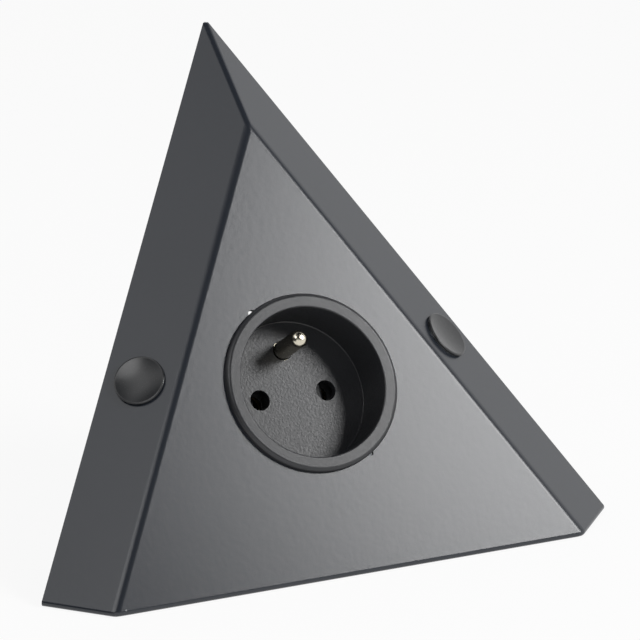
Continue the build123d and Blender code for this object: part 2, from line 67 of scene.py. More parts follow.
# Nearly all of a noise texture's values lie between the first two, around the third
NOISE_LOW = 0.3
NOISE_HIGH = 0.7
NOISE_MIDDLE = 0.5

Profile = list[tuple[float, float]]
Corners = list[tuple[float, float, float]]
Reach = Callable[[float, float, float], float]
Colour = tuple[float, float, float, float]
Form = bmesh.types.BMesh
Piece = bpy.types.Object
Node = bpy.types.Node
Output = bpy.types.NodeSocket
Inputs = dict[str | int, object]
Span = tuple[float, float]


class Side(Enum):
    """The two flanks of the unit, with the sign of X on each."""

    LEFT = -1
    RIGHT = 1

    @property
    def word(self) -> str:
        """The side's word in the names of pieces."""
        return self.name.lower()


class Working(Enum):
    """How a metal was worked, as the stretch of its marks along X, Y and Z."""

    ROLLED = (1.0, 0.06, 1.0)
    DRAWN = (0.05, 1.0, 1.0)
    TUMBLED = (1.0, 1.0, 1.0)


def linear(code: str) -> Colour:
    """Turns an sRGB hex code into linear colour.

    Args:
        code: the colour as six hex digits after a hash.

    Returns:
        Red, green, blue and an alpha of 1.
    """
    levels = [int(code[start : start + 2], 16) / 255 for start in (1, 3, 5)]
    red, green, blue = [v / 12.92 if v <= 0.04045 else ((v + 0.055) / 1.055) ** 2.4 for v in levels]
    return red, green, blue, 1.0


def per_mm(size: float) -> float:
    """The scale of a texture in object space whose marks measure a size in millimetres."""
    return 1 / (size * MM)


@dataclass(frozen=True)
class Nodes:
    """The nodes of a material or of the world, and the calls that add to them."""

    tree: bpy.types.NodeTree

    @cached_property
    def place(self) -> Output:
        """Object coordinates in metres."""
        return self.add("TexCoord").outputs["Object"]

    @property
    def shader(self) -> Node:
        """The material's Principled shader."""
        return self.tree.nodes["Principled BSDF"]

    def fill(self, node: Node, inputs: Inputs) -> None:
        """Sets and links a node's inputs.

        Args:
            node: the node.
            inputs: for each input, a value, or an output to link.
        """
        for name, value in inputs.items():
            if isinstance(value, Output):
                self.tree.links.new(value, node.inputs[name])
            else:
                node.inputs[name].default_value = value

    def add(self, kind: str, inputs: Inputs | None = None, **settings: object) -> Node:
        """Adds a node with its settings, values and links.

        Args:
            kind: the node's type, without the word ShaderNode.
            inputs: for each input, a value, or an output to link.
            settings: the node's own properties.

        Returns:
            The new node.
        """
        node = self.tree.nodes.new("ShaderNode" + kind)
        for name, value in settings.items():
            setattr(node, name, value)
        self.fill(node, inputs or {})
        return node

    def reckon(self, operation: str, *values: object) -> Output:
        """Reckons with numbers.

        Args:
            operation: Blender's word for what is done.
            values: numbers and outputs in order.

        Returns:
            The result.
        """
        return self.add("Math", dict(enumerate(values)), operation=operation).outputs[0]

    def any_of(self, outputs: list[Output]) -> Output:
        """Joins outputs that each mark something into one that marks all of it.

        Args:
            outputs: one or more outputs between 0 and 1.

        Returns:
            An output that is everywhere as high as the highest of them.
        """
        found = outputs[0]
        for other in outputs[1:]:
            found = self.reckon("MAXIMUM", found, other)
        return found

    def remap(self, value: Output, old: Span, new: Span = (0.0, 1.0), **settings: object) -> Output:
        """Moves values from one span to another, and holds what lies beyond at the ends.

        Args:
            value: the values.
            old: the span that they are taken from.
            new: the span that they are moved to.
            settings: the node's own properties.

        Returns:
            The moved values.
        """
        ends = dict(zip(("From Min", "From Max", "To Min", "To Max"), old + new))
        return self.add("MapRange", {"Value": value, **ends}, **settings).outputs["Result"]

    def noise(self, size: float, detail: float, swirl: float = 0.0, place: Output | None = None) -> Output:
        """Adds noise over the surface.

        Args:
            size: the size of its marks.
            detail: how many finer layers it has.
            swirl: how far the marks are bent.
            place: the coordinates that it follows, where they aren't the object's.

        Returns:
            Its values.
        """
        inputs = {"Vector": place or self.place, "Scale": per_mm(size)}
        return self.add("TexNoise", {**inputs, "Detail": detail, "Distortion": swirl}).outputs["Fac"]

    def bump(self, height: Output, depth: float, strength: float | Output = 0.5, **more: Output) -> Output:
        """Adds relief.

        Args:
            height: a pattern of heights between 0 and 1.
            depth: how deep the pattern is.
            strength: how much of it shows.
            more: the Normal of the relief that it lies on.

        Returns:
            The surface's normal.
        """
        inputs = {"Height": height, "Strength": strength, "Distance": depth * MM, **more}
        return self.add("Bump", inputs).outputs["Normal"]


def stand(azimuth: float, elevation: float) -> Matrix:
    """Axes of a camera or lamp that looks back at the unit.

    Args:
        azimuth: degrees round from the front, towards the right.
        elevation: degrees above the worktop.

    Returns:
        A rotation whose Z axis points from the unit to where it stands.
    """
    turn, rise = math.radians(azimuth), math.radians(elevation)
    back = Vector((math.sin(turn) * math.cos(rise), -math.cos(turn) * math.cos(rise), math.sin(rise)))
    right = Vector((math.cos(turn), math.sin(turn), 0))
    return Matrix((right, back.cross(right), back)).transposed()


def axes_at(origin: Vector, x_axis: Vector, z_axis: Vector) -> Matrix:
    """A place in the row frame for a form that is drawn in millimetres.

    Args:
        origin: the place's origin, in millimetres.
        x_axis: the direction of the form's X axis.
        z_axis: the direction of the form's Z axis.

    Returns:
        A matrix from the form's millimetres to the row frame's metres.
    """
    x_axis, z_axis = x_axis.normalized(), z_axis.normalized()
    turned = Matrix((x_axis, z_axis.cross(x_axis), z_axis)).transposed().to_4x4()
    return Matrix.Translation(origin * MM) @ turned @ Matrix.Scale(MM, 4)


@dataclass(frozen=True)
class CornerPlanes:
    """The faces of the housing that carry everything else, before its edges are rounded."""

    base_width: float = 164.4
    room_height: float = 124.5
    rim_step: float = 12.1
    foot_radius: float = 1.0
    socket_height: float = 52.0
    cap_along: float = 64.3

    @property
    def lean(self) -> float:
        """The angle of the plate above the worktop."""
        return math.atan2(self.room_height, self.base_width / 2)

    @property
    def plate_run(self) -> float:
        """How far the plate stands in front of the flanks' outer edges."""
        return self.rim_step / math.sin(self.lean)

    @property
    def front(self) -> float:
        """Y of the edge where the plate would meet the worktop if it had no rounding."""
        setback = self.foot_radius * (1 / math.tan(self.lean / 2) - 1)
        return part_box("housing")[0].y / MM - setback

    @property
    def plate_normal(self) -> Vector:
        """The direction that the plate faces."""
        return Vector((0, -math.sin(self.lean), math.cos(self.lean)))

    def on_plate(self, across: float = 0, up: float = 0) -> Matrix:
        """A place on the plate, with Z outwards.

        Args:
            across: how far right of the middle of the socket it lies.
            up: how far up the plate from there it lies.

        Returns:
            A matrix from the place's millimetres to the row frame's metres.
        """
        rise = Vector((0, math.cos(self.lean), math.sin(self.lean)))
        origin = Vector((across, self.front, 0)) + rise * (self.socket_height + up)
        return axes_at(origin, Vector((1, 0, 0)), self.plate_normal)

    def on_flank(self, side: Side) -> Matrix:
        """The middle of a flank's cap, with Z outwards and X up along the wall.

        Args:
            side: the flank.

        Returns:
            A matrix from the place's millimetres to the row frame's metres.
        """
        half = self.base_width / 2
        x_axis = Vector((-side.value * half, half, self.room_height)).normalized()
        z_axis = Vector((side.value * self.room_height, -self.room_height, self.base_width)).normalized()
        # The walls stand at 45 degrees to the plate's run, so the flank is wider by the root of 2
        across = z_axis.cross(x_axis) * side.value * math.sqrt(2) * self.plate_run / 2
        foot = Vector((side.value * half, self.front + self.plate_run, 0))
        return axes_at(foot + x_axis * self.cap_along + across, x_axis, z_axis)


PLANES = CornerPlanes()


def rounded(corners: Corners, steps: int = 5) -> Profile:
    """Turns corners into a profile, with an arc at each corner that is rounded.

    Args:
        corners: distance from the axis, height and rounding of each corner.
        steps: straight pieces in each arc.

    Returns:
        The profile's points in order.
    """
    profile: Profile = []
    for index, (x, y, rounding) in enumerate(corners):
        if not rounding:
            profile.append((x, y))
            continue
        here = Vector((x, y))
        before = (Vector(corners[index - 1][:2]) - here).normalized()
        after = (Vector(corners[(index + 1) % len(corners)][:2]) - here).normalized()
        half = before.angle(after) / 2
        centre = here + (before + after).normalized() * rounding / math.sin(half)
        start = here + before * rounding / math.tan(half) - centre
        end = here + after * rounding / math.tan(half) - centre
        sweep = start.angle(end)
        for step in range(steps + 1):
            share = step / steps
            spoke = start * math.sin((1 - share) * sweep) + end * math.sin(share * sweep)
            profile.append(tuple(centre + spoke / math.sin(sweep)))
    return profile


def lathe(profile: Profile, steps: int = 96, reach: Reach | None = None) -> Form:
    """Turns a profile about the Z axis.

    Args:
        profile: distance from the axis and height of each point. A profile that keeps off the
            axis is closed into a ring.
        steps: sides of each ring.
        reach: gives a point's distance from the axis from its radius, height and angle.

    Returns:
        The closed form.
    """
    form = bmesh.new()
    rings = []
    for radius, height in profile:
        if radius < TINY:
            rings.append([form.verts.new((0, 0, height))])
            continue
        ring = []
        for step in range(steps):
            angle = 2 * math.pi * step / steps
            far = reach(radius, height, angle) if reach else radius
            ring.append(form.verts.new((far * math.cos(angle), far * math.sin(angle), height)))
        rings.append(ring)
    pairs = list(zip(rings, rings[1:]))
    if len(rings[0]) > 1 and len(rings[-1]) > 1:
        pairs.append((rings[-1], rings[0]))
    for first, second in pairs:
        for step in range(steps):
            after = (step + 1) % steps
            around = (first[step % len(first)], first[after % len(first)])
            around += (second[after % len(second)], second[step % len(second)])
            form.faces.new(list(dict.fromkeys(around)))
    bmesh.ops.recalc_face_normals(form, faces=form.faces)
    return form


def prism(outline: Profile, low: float, high: float, taper: float = 1.0) -> Form:
    """Raises an outline between two heights.

    Args:
        outline: the corners in order.
        low: height of the lower face.
        high: height of the upper face.
        taper: size of the lower face as a share of the upper one.

    Returns:
        The closed form.
    """
    form = bmesh.new()
    lower = [form.verts.new((x * taper, y * taper, low)) for x, y in outline]
    upper = [form.verts.new((x, y, high)) for x, y in outline]
    form.faces.new(lower)
    form.faces.new(upper)
    for index in range(len(outline)):
        after = (index + 1) % len(outline)
        form.faces.new((lower[index], lower[after], upper[after], upper[index]))
    bmesh.ops.recalc_face_normals(form, faces=form.faces)
    return form


def wire(path: list[Vector], radius: float, steps: int = 14) -> Form:
    """Draws a round wire along a path.

    Args:
        path: the wire's middle line.
        radius: half the wire's thickness.
        steps: sides of the wire.

    Returns:
        The wire, closed at both ends.
    """
    form = bmesh.new()
    rings = []
    normal = Vector((0, 0, 1))
    for index, point in enumerate(path):
        ahead = path[min(index + 1, len(path) - 1)] - path[max(index - 1, 0)]
        normal = (normal - ahead * normal.dot(ahead) / ahead.length_squared).normalized()
        beside = ahead.normalized().cross(normal)
        ring = []
        for step in range(steps):
            angle = 2 * math.pi * step / steps
            offset = normal * math.cos(angle) + beside * math.sin(angle)
            ring.append(form.verts.new(point + offset * radius))
        rings.append(ring)
    for first, second in zip(rings, rings[1:]):
        for step in range(steps):
            after = (step + 1) % steps
            form.faces.new((first[step], first[after], second[after], second[step]))
    form.faces.new(rings[0])
    form.faces.new(rings[-1])
    bmesh.ops.recalc_face_normals(form, faces=form.faces)
    return form


def settle(form: Form, name: str, place: Matrix, crease: float = 35.0) -> Piece:
    """Makes an object of a form and puts it in its place.

    Args:
        form: the form in its own millimetres.
        name: the piece's name.
        place: the matrix from the form to the row frame.
        crease: edges that turn by more degrees than this stay sharp.

    Returns:
        The new object.
    """
    form.transform(place)
    mesh = bpy.data.meshes.new(name)
    form.to_mesh(mesh)
    form.free()
    mesh.shade_smooth()
    mesh.set_sharp_from_angle(angle=math.radians(crease))
    piece = bpy.data.objects.new(name, mesh)
    bpy.context.scene.collection.objects.link(piece)
    return piece


def cut(piece: Piece, form: Form, place: Matrix) -> None:
    """Takes a form away from a piece.

    Args:
        piece: the piece that loses the form.
        form: what is cut away, in its own millimetres.
        place: the matrix from the form to the row frame.
    """
    cutter = settle(form, "cutter", place)
    boolean = piece.modifiers.new("cut", "BOOLEAN")
    boolean.operation = "DIFFERENCE"
    boolean.solver = "EXACT"
    boolean.object = cutter
    graph = bpy.context.evaluated_depsgraph_get()
    piece.data = bpy.data.meshes.new_from_object(piece.evaluated_get(graph))
    piece.modifiers.clear()
    piece.data.name = piece.name
    bpy.data.meshes.remove(cutter.data)


@dataclass(frozen=True)
class Finish:
    """What every finish shares: its name, its slot in the record and its plain values.

    A fine pattern takes the roughness below and above its plain value, as far as smoother and
    rougher say.
    """

    name: str
    slot: str
    colour: str
    shade: str
    roughness: float
    metallic: float = 0.0
    ior: float = 1.5
    smoother: float = 0.0
    rougher: float = 0.0

    def material(self) -> bpy.types.Material:
        """The finish's material, made once."""
        found = bpy.data.materials.get(self.name)
        return found or self.make()

    def make(self) -> bpy.types.Material:
        """Makes the material: the shader's plain values, then the surface's own detail.

        Returns:
            The new material.
        """
        made = bpy.data.materials.new(self.name)
        made.use_nodes = True
        nodes = Nodes(made.node_tree)
        plain = {"Base Color": linear(self.colour), "Roughness": self.roughness, "Metallic": self.metallic}
        if not self.metallic:
            plain["IOR"] = self.ior
        nodes.fill(nodes.shader, plain)
        self.detail(nodes)
        return made

    def detail(self, nodes: Nodes) -> None:
        """Adds the colour, roughness and relief that only this finish has.

        Args:
            nodes: the material's nodes.
        """
        raise NotImplementedError

    def lay(self, nodes: Nodes, tone: Output, tooth: Output, relief: Output) -> Output:
        """Lays the finish's patterns on its shader.

        Args:
            nodes: the material's nodes.
            tone: a slow pattern, which moves the surface from its colour to its shade.
            tooth: a fine pattern, which makes the surface smoother and rougher, where it has a span.
            relief: the normal that the surface's relief gives.

        Returns:
            The colour, for what lies over it.
        """
        colours = {"Factor": tone, "A": linear(self.colour), "B": linear(self.shade)}
        tint = nodes.add("Mix", colours, data_type="RGBA").outputs["Result"]
        nodes.fill(nodes.shader, {"Base Color": tint, "Normal": relief})
        if self.rougher:
            span = (self.roughness - self.smoother, self.roughness + self.rougher)
            nodes.fill(nodes.shader, {"Roughness": nodes.remap(tooth, (NOISE_LOW, NOISE_HIGH), span)})
        return tint


@dataclass(frozen=True)
class Chip:
    """A chip in the coat, at a place on the plate measured from the middle of the socket."""

    across: float
    up: float
    radius: float


@dataclass(frozen=True)
class PowderCoat(Finish):
    """Satin polyester powder, sprayed on folded steel and cured."""

    smoother: float = 0.012
    rougher: float = 0.012
    peel: float = 1.6
    peel_depth: float = 0.014
    grain: float = 0.34
    grain_depth: float = 0.004
    cloud: float = 26.0
    steel: str = "#9fa1a3"
    chips: tuple[Chip, ...] = ()
    chip_edge: float = 0.25

    def detail(self, nodes: Nodes) -> None:
        """Adds the flow of the cured film, its fine grain and the few chips at its edges.

        Args:
            nodes: the material's nodes.
        """
        # The film flows into low swells, which soften the edges of what it mirrors
        swell = nodes.bump(nodes.noise(self.peel, 3.0), self.peel_depth, 1.0)
        # Powder grains are near 0.05 mm and are drawn coarser, so that the satin shows its tooth
        grain = nodes.noise(self.grain, 3.0)
        tooth = nodes.bump(grain, self.grain_depth, Normal=swell)
        coat = self.lay(nodes, nodes.noise(self.cloud, 1.0), grain, tooth)
        if self.chips:
            bare = self.bare_spots(nodes, grain)
            colours = {"Factor": bare, "A": coat, "B": linear(self.steel)}
            skin = nodes.add("Mix", colours, data_type="RGBA").outputs["Result"]
            nodes.fill(nodes.shader, {"Base Color": skin, "Metallic": bare})

    def bare_spots(self, nodes: Nodes, ragged: Output) -> Output:
        """Marks where the coat has chipped off.

        Args:
            nodes: the material's nodes.
            ragged: noise that makes the chips' edges uneven.

        Returns:
            An output that is 1 on bare steel and 0 on the coat.
        """
        spots = []
        for chip in self.chips:
            middle = PLANES.on_plate(chip.across, chip.up).to_translation()
            away = nodes.add("VectorMath", {0: nodes.place, 1: middle}, operation="DISTANCE")
            torn = nodes.reckon("MULTIPLY_ADD", ragged, chip.radius * MM, away.outputs["Value"])
            # The noise adds half of the radius on average, so the edge lies that much further out
            edge = (1 + NOISE_MIDDLE) * chip.radius
            spots.append(nodes.remap(torn, ((edge - self.chip_edge) * MM, edge * MM), (1.0, 0.0)))
        return nodes.any_of(spots)


@dataclass(frozen=True)
class SparkMoulded(Finish):
    """Black polyamide, moulded in a tool whose recess was spark eroded and whose rim was drawn smooth."""

    smoother: float = 0.05
    rougher: float = 0.05
    crater: float = 0.6
    crater_share: float = 0.8
    fine: float = 0.5
    depth: float = 0.03
    rim_level: float = 0.6
    rim_fade: float = 1.0
    rim_share: float = 0.25
    streak: float = 9.0

    def detail(self, nodes: Nodes) -> None:
        """Adds the spark eroded tooth below the rim and faint flow clouds all over.

        Args:
            nodes: the material's nodes.
        """
        centre = PLANES.on_plate().to_translation()
        reach = nodes.add("VectorMath", {0: nodes.place, 1: centre}, operation="SUBTRACT").outputs["Vector"]
        height = nodes.add("VectorMath", {0: reach, 1: PLANES.plate_normal}, operation="DOT_PRODUCT")
        fade = ((self.rim_level - self.rim_fade / 2) * MM, (self.rim_level + self.rim_fade / 2) * MM)
        rough = nodes.remap(height.outputs["Value"], fade, (1.0, self.rim_share))
        # Spark craters are near 0.1 mm and are drawn coarser, so that single ones glint in the recess
        pits = {"Vector": nodes.place, "Scale": per_mm(self.crater), "Randomness": 1.0}
        crater = nodes.add("TexVoronoi", pits, feature="SMOOTH_F1").outputs["Distance"]
        fine = nodes.noise(self.fine, 2.0)
        tooth = nodes.reckon("MULTIPLY_ADD", crater, self.crater_share, fine)
        self.lay(nodes, nodes.noise(self.streak, 2.0), fine, nodes.bump(tooth, self.depth, rough))


@dataclass(frozen=True)
class MouldedPlastic(Finish):
    """Plastic moulded in a fine ground tool: an even satin with faint flow marks."""

    smoother: float = 0.05
    rougher: float = 0.06
    tooth: float = 0.3
    depth: float = 0.012
    flow: float = 5.0
    swirl: float = 1.5

    def detail(self, nodes: Nodes) -> None:
        """Adds a fine tooth and slow clouds of colour where the melt met.

        Args:
            nodes: the material's nodes.
        """
        tooth = nodes.noise(self.tooth, 3.0)
        self.lay(nodes, nodes.noise(self.flow, 2.0, self.swirl), tooth, nodes.bump(tooth, self.depth))


@dataclass(frozen=True)
class WorkedMetal(Finish):
    """Bare or plated metal, with the marks that its working left."""

    metallic: float = 1.0
    smoother: float = 0.06
    rougher: float = 0.08
    working: Working = Working.TUMBLED
    mark: float = 0.25
    depth: float = 0.006
    stain: float = 3.5

    def detail(self, nodes: Nodes) -> None:
        """Adds fine marks along the working direction and a slow change of tone.

        Args:
            nodes: the material's nodes.
        """
        stretched = nodes.add("Mapping", {"Vector": nodes.place, "Scale": self.working.value})
        mark = nodes.noise(self.mark, 4.0, place=stretched.outputs[0])
        self.lay(nodes, nodes.noise(self.stain, 3.0), mark, nodes.bump(mark, self.depth))


@dataclass(frozen=True)
class CuredRubber(Finish):
    """Moulded rubber: dull, with a grey bloom that has come out in patches."""

    bloom: float = 2.5
    bloom_from: float = 0.45
    bloom_full: float = 0.75
    tooth: float = 0.35
    depth: float = 0.03

    def detail(self, nodes: Nodes) -> None:
        """Adds the bloom and a soft tooth.

        Args:
            nodes: the material's nodes.
        """
        bloom = nodes.remap(nodes.noise(self.bloom, 5.0), (self.bloom_from, self.bloom_full))
        tooth = nodes.noise(self.tooth, 2.0)
        self.lay(nodes, bloom, tooth, nodes.bump(tooth, self.depth))


# Satin black powder on steel: nearly black straight on, and grey wherever it mirrors a white room
POWDER = PowderCoat(
    "satin_powder_coat",
    "housing",
    "#252930",
    "#282c33",
    roughness=0.25,
    ior=1.55,
    chips=(Chip(across=-63.9, up=-50.1, radius=0.28), Chip(across=67.1, up=-51.3, radius=0.4)),
)
# Spark textured polyamide: dull black with fine glints where the light rakes it
SOCKET_BLACK = SparkMoulded(
    "spark_moulded_polyamide", "socket_plastic", "#28292c", "#2c2d30", roughness=0.345
)
# Glass filled polyamide behind the socket: a duller black with pale flow clouds
COVER_BLACK = MouldedPlastic(
    "glass_filled_polyamide", "socket_plastic", "#2a2b2c", "#363738", roughness=0.55, flow=3.0
)
# Moulded ABS caps: a smoother black that gathers a bright line on the rim
CAP_BLACK = MouldedPlastic("moulded_abs", "cap_plastic", "#242527", "#28292b", roughness=0.22, ior=1.53)
# Acetal in a dark grey, made darker still as painted shade so that the pad reads dark deep in its hole:
# slippery and a little waxy
SHUTTER_GREY_AND_SHADE = MouldedPlastic(
    "moulded_acetal_and_shade", "shutter_plastic", "#242527", "#2a2b2d", roughness=0.5, ior=1.48
)
# Nickel over brass, turned and barrel plated: warm and bright
NICKEL = WorkedMetal("turned_nickel_plate", "pin_nickel", "#d8d2c2", "#cfc8b5", roughness=0.2)
# Zinc plated steel with a clear passivate: cool, soft and a little cloudy
ZINC = WorkedMetal("zinc_plated_steel", "zinc_steel", "#b6babd", "#a4a9ae", roughness=0.34, mark=0.3)
# The same plate on rolled strip, which keeps the lines of the rolls
ZINC_SHEET = WorkedMetal(
    "zinc_plated_strip",
    "zinc_steel",
    "#b3b7ba",
    "#a0a5aa",
    roughness=0.38,
    working=Working.ROLLED,
    mark=0.35,
)
# Half hard brass strip, pressed: yellow, darkening where it was handled
BRASS = WorkedMetal(
    "pressed_brass_strip",
    "contact_brass",
    "#b8985c",
    "#9c7e4a",
    roughness=0.32,
    working=Working.ROLLED,
    mark=0.3,
)
# The same strip rolled into sleeves, with its colour darkened as painted shade so that no glint shows in
# the holes: brown, and nearly black deep in the holes
SHADE_DARKENED_BRASS = WorkedMetal(
    "shade_darkened_brass_strip",
    "contact_brass",
    "#5a4c33",
    "#473b28",
    roughness=0.45,
    working=Working.ROLLED,
    mark=0.3,
)
# Hard drawn spring wire: grey, with lines along the draw
SPRING_STEEL = WorkedMetal(
    "drawn_spring_steel",
    "spring_steel",
    "#93979b",
    "#7f8488",
    roughness=0.3,
    working=Working.DRAWN,
    mark=0.2,
)
# Moulded EPDM: a soft dull black that scatters all it mirrors
RUBBER = CuredRubber("moulded_epdm", "grommet_rubber", "#1f1f20", "#38393a", roughness=0.78)


# How dress breaks edges: points closer than the gap are one, faces within the flat angle are one
# face, and edges sharper than the edge angle are broken in so many steps
WELD_GAP = 0.003
FLAT_ANGLE = 0.5
EDGE_ANGLE = 50
EDGE_STEPS = 3


def dress(node: str, finish: Finish, edge: float = 0.0) -> Piece:
    """Gives a CAD node its finish, and breaks its sharp edges as real ones are.

    Args:
        node: the node's name.
        finish: what it is made of.
        edge: the broken edge's width, or 0 to leave the edges.

    Returns:
        The node's object.
    """
    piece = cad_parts[node]
    for slot in piece.material_slots:
        slot.material = finish.material()
    if edge:
        weld = piece.modifiers.new("weld", "WELD")
        weld.merge_threshold = WELD_GAP * MM
        flats = piece.modifiers.new("flats", "DECIMATE")
        flats.decimate_type = "DISSOLVE"
        flats.angle_limit = math.radians(FLAT_ANGLE)
        bevel = piece.modifiers.new("edges", "BEVEL")
        bevel.width = edge * MM
        bevel.segments = EDGE_STEPS
        bevel.limit_method = "ANGLE"
        bevel.angle_limit = math.radians(EDGE_ANGLE)
        bevel.use_clamp_overlap = True
        # Large flats keep their own normals, so that a fold beside them doesn't shade across them
        normals = piece.modifiers.new("normals", "WEIGHTED_NORMAL")
        normals.weight = 100
        normals.keep_sharp = True
    return piece


def stand_for(piece: Piece, finish: Finish, *nodes: str, body: str = "unit") -> Piece:
    """Finishes a piece that takes the place of CAD nodes.

    Args:
        piece: the piece, in its place.
        finish: what it is made of.
        nodes: the CAD nodes that it stands for.
        body: the CAD body that carries it.

    Returns:
        The piece.
    """
    piece.data.materials.clear()
    piece.data.materials.append(finish.material())
    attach(piece, body)
    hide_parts(*nodes)
    return piece


@dataclass
class Housing:
    """The folded sheet housing and the brackets that hold it to the two walls."""

    cut_edge: float = 0.5
    bracket_edge: float = 0.25

    def build(self) -> list[Piece]:
        """Finishes the housing and both brackets.

        Returns:
            The three pieces.
        """
        pieces = [dress("housing", POWDER, self.cut_edge)]
        for side in Side:
            pieces.append(dress(f"wall_bracket_{side.word}", ZINC_SHEET, self.bracket_edge))
        return pieces


@dataclass
class EarthPin:
    """The turned earth pin, with its heights measured from the plate's face."""

    offset: float = 12.2
    radius: float = 2.4
    tip: float = 0.6
    tip_flat: float = 0.3
    nose_steps: int = 14
    floor_top: float = -12.5
    neck_drop: float = 1.8
    floor_under: float = -14.7
    neck_radius: float = 2.6
    collar_radius: float = 3.4
    collar_end: float = -18.7
    shank_radius: float = 1.8
    end: float = -21.3
    broken_edge: float = 0.2

    def build(self) -> list[Piece]:
        """Turns the pin with its round nose, collar and riveted shank.

        Returns:
            The pin.
        """
        corners = [
            (0, self.tip, 0),
            (self.tip_flat, self.tip, 0),
            (self.radius, self.tip, self.radius - self.tip_flat),
            (self.radius, self.floor_top - self.neck_drop, 0),
            (self.neck_radius, self.floor_top - self.neck_drop, 0),
            (self.neck_radius, self.floor_under, 0),
            (self.collar_radius, self.floor_under, self.broken_edge),
            (self.collar_radius, self.collar_end, self.broken_edge),
            (self.shank_radius, self.collar_end, 0),
            (self.shank_radius, self.end, self.broken_edge),
            (0, self.end, 0),
        ]
        form = lathe(rounded(corners, self.nose_steps))
        piece = settle(form, "turned_earth_pin", PLANES.on_plate(0, self.offset))
        return [stand_for(piece, NICKEL, "earth_pin")]


@dataclass
class Socket:
    """The moulded socket, what it holds inside, and its cover."""

    cover_edge: float = 0.25
    small_edge: float = 0.12

    def build(self) -> list[Piece]:
        """Finishes the mouldings, the contacts, the strap and the shutter.

        Returns:
            The seven pieces.
        """
        pieces = [
            dress("socket_body", SOCKET_BLACK),
            dress("contact_carrier", COVER_BLACK, self.small_edge),
            dress("terminal_cover", COVER_BLACK, self.cover_edge),
            # The shutter's dark grey carries painted shade for its pad deep in the hole
            dress("shutter", SHUTTER_GREY_AND_SHADE, self.small_edge),
            dress("earth_strap", BRASS, self.small_edge),
        ]
        for side in Side:
            # The contact sleeves take the brass that is darkened as painted shade
            pieces.append(dress(f"contact_{side.word}", SHADE_DARKENED_BRASS, self.small_edge))
        return pieces


@dataclass
class ShutterSpring:
    """The coil that holds the shutter shut, from its post to the right pad."""

    wire_radius: float = 0.2
    radius: float = 1.25
    start: float = -4.7
    length: float = 8.0
    level: float = -16.95
    open_turns: float = 5.0
    closed_turns: float = 1.0
    closed_pitch: float = 1.05
    steps: int = 28
    travel: float = 3.2

    def along(self, turn: float) -> float:
        """Follows the coil, whose closed turns are wound tight.

        Args:
            turn: turns from the coil's start.

        Returns:
            How far along the coil that turn lies.
        """
        tight = 2 * self.wire_radius * self.closed_pitch
        pitch = (self.length - 2 * tight * self.closed_turns) / self.open_turns
        opened = min(max(turn - self.closed_turns, 0), self.open_turns)
        closed = min(turn, self.closed_turns) + max(turn - self.closed_turns - self.open_turns, 0)
        return closed * tight + opened * pitch

    def build(self) -> list[Piece]:
        """Winds the spring.

        Returns:
            The spring.
        """
        turns = self.open_turns + 2 * self.closed_turns
        path = []
        for step in range(int(turns * self.steps) + 1):
            turn = step / self.steps
            angle = 2 * math.pi * turn
            spoke = Vector((0, math.cos(angle), math.sin(angle))) * self.radius
            path.append(Vector((self.start + self.along(turn), 0, self.level)) + spoke)
        piece = settle(wire(path, self.wire_radius), "wound_shutter_spring", PLANES.on_plate())
        stand_for(piece, SPRING_STEEL, "shutter_spring")
        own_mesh(piece)
        return [piece]


@dataclass
class CableGrommet:
    """The rubber ring in the cover, with its heights measured from the plate's face."""

    offset: float = 2.5
    bore: float = 3.9
    bore_edge: float = 0.3
    lip: float = 6.5
    lip_edge: float = 0.5
    waist: float = 5.0
    rear: float = -41.7
    cover_rear: float = -40.2
    cover_inner: float = -38.7
    inner: float = -37.2
    ribs: int = 3
    rib_height: float = 0.3
    rib_margin: float = 0.5
    rib_steps: int = 8

    def build(self) -> list[Piece]:
        """Moulds the grommet with its groove and the sealing ribs in its bore.

        Returns:
            The grommet.
        """
        corners = [
            (self.bore, self.inner, self.bore_edge),
            (self.lip, self.inner, self.lip_edge),
            (self.lip, self.cover_inner, 0),
            (self.waist, self.cover_inner, 0),
            (self.waist, self.cover_rear, 0),
            (self.lip, self.cover_rear, 0),
            (self.lip, self.rear, self.lip_edge),
            (self.bore, self.rear, self.bore_edge),
        ]
        profile = rounded(corners)
        span = self.inner - self.rear - 2 * self.rib_margin
        count = self.rib_steps * self.ribs
        for step in range(count + 1):
            share = step / count
            wave = (1 - math.cos(2 * math.pi * self.ribs * share)) / 2
            profile.append((self.bore - self.rib_height * wave, self.rear + self.rib_margin + span * share))
        piece = settle(lathe(profile), "moulded_cable_grommet", PLANES.on_plate(0, self.offset))
        return [stand_for(piece, RUBBER, "cable_grommet")]


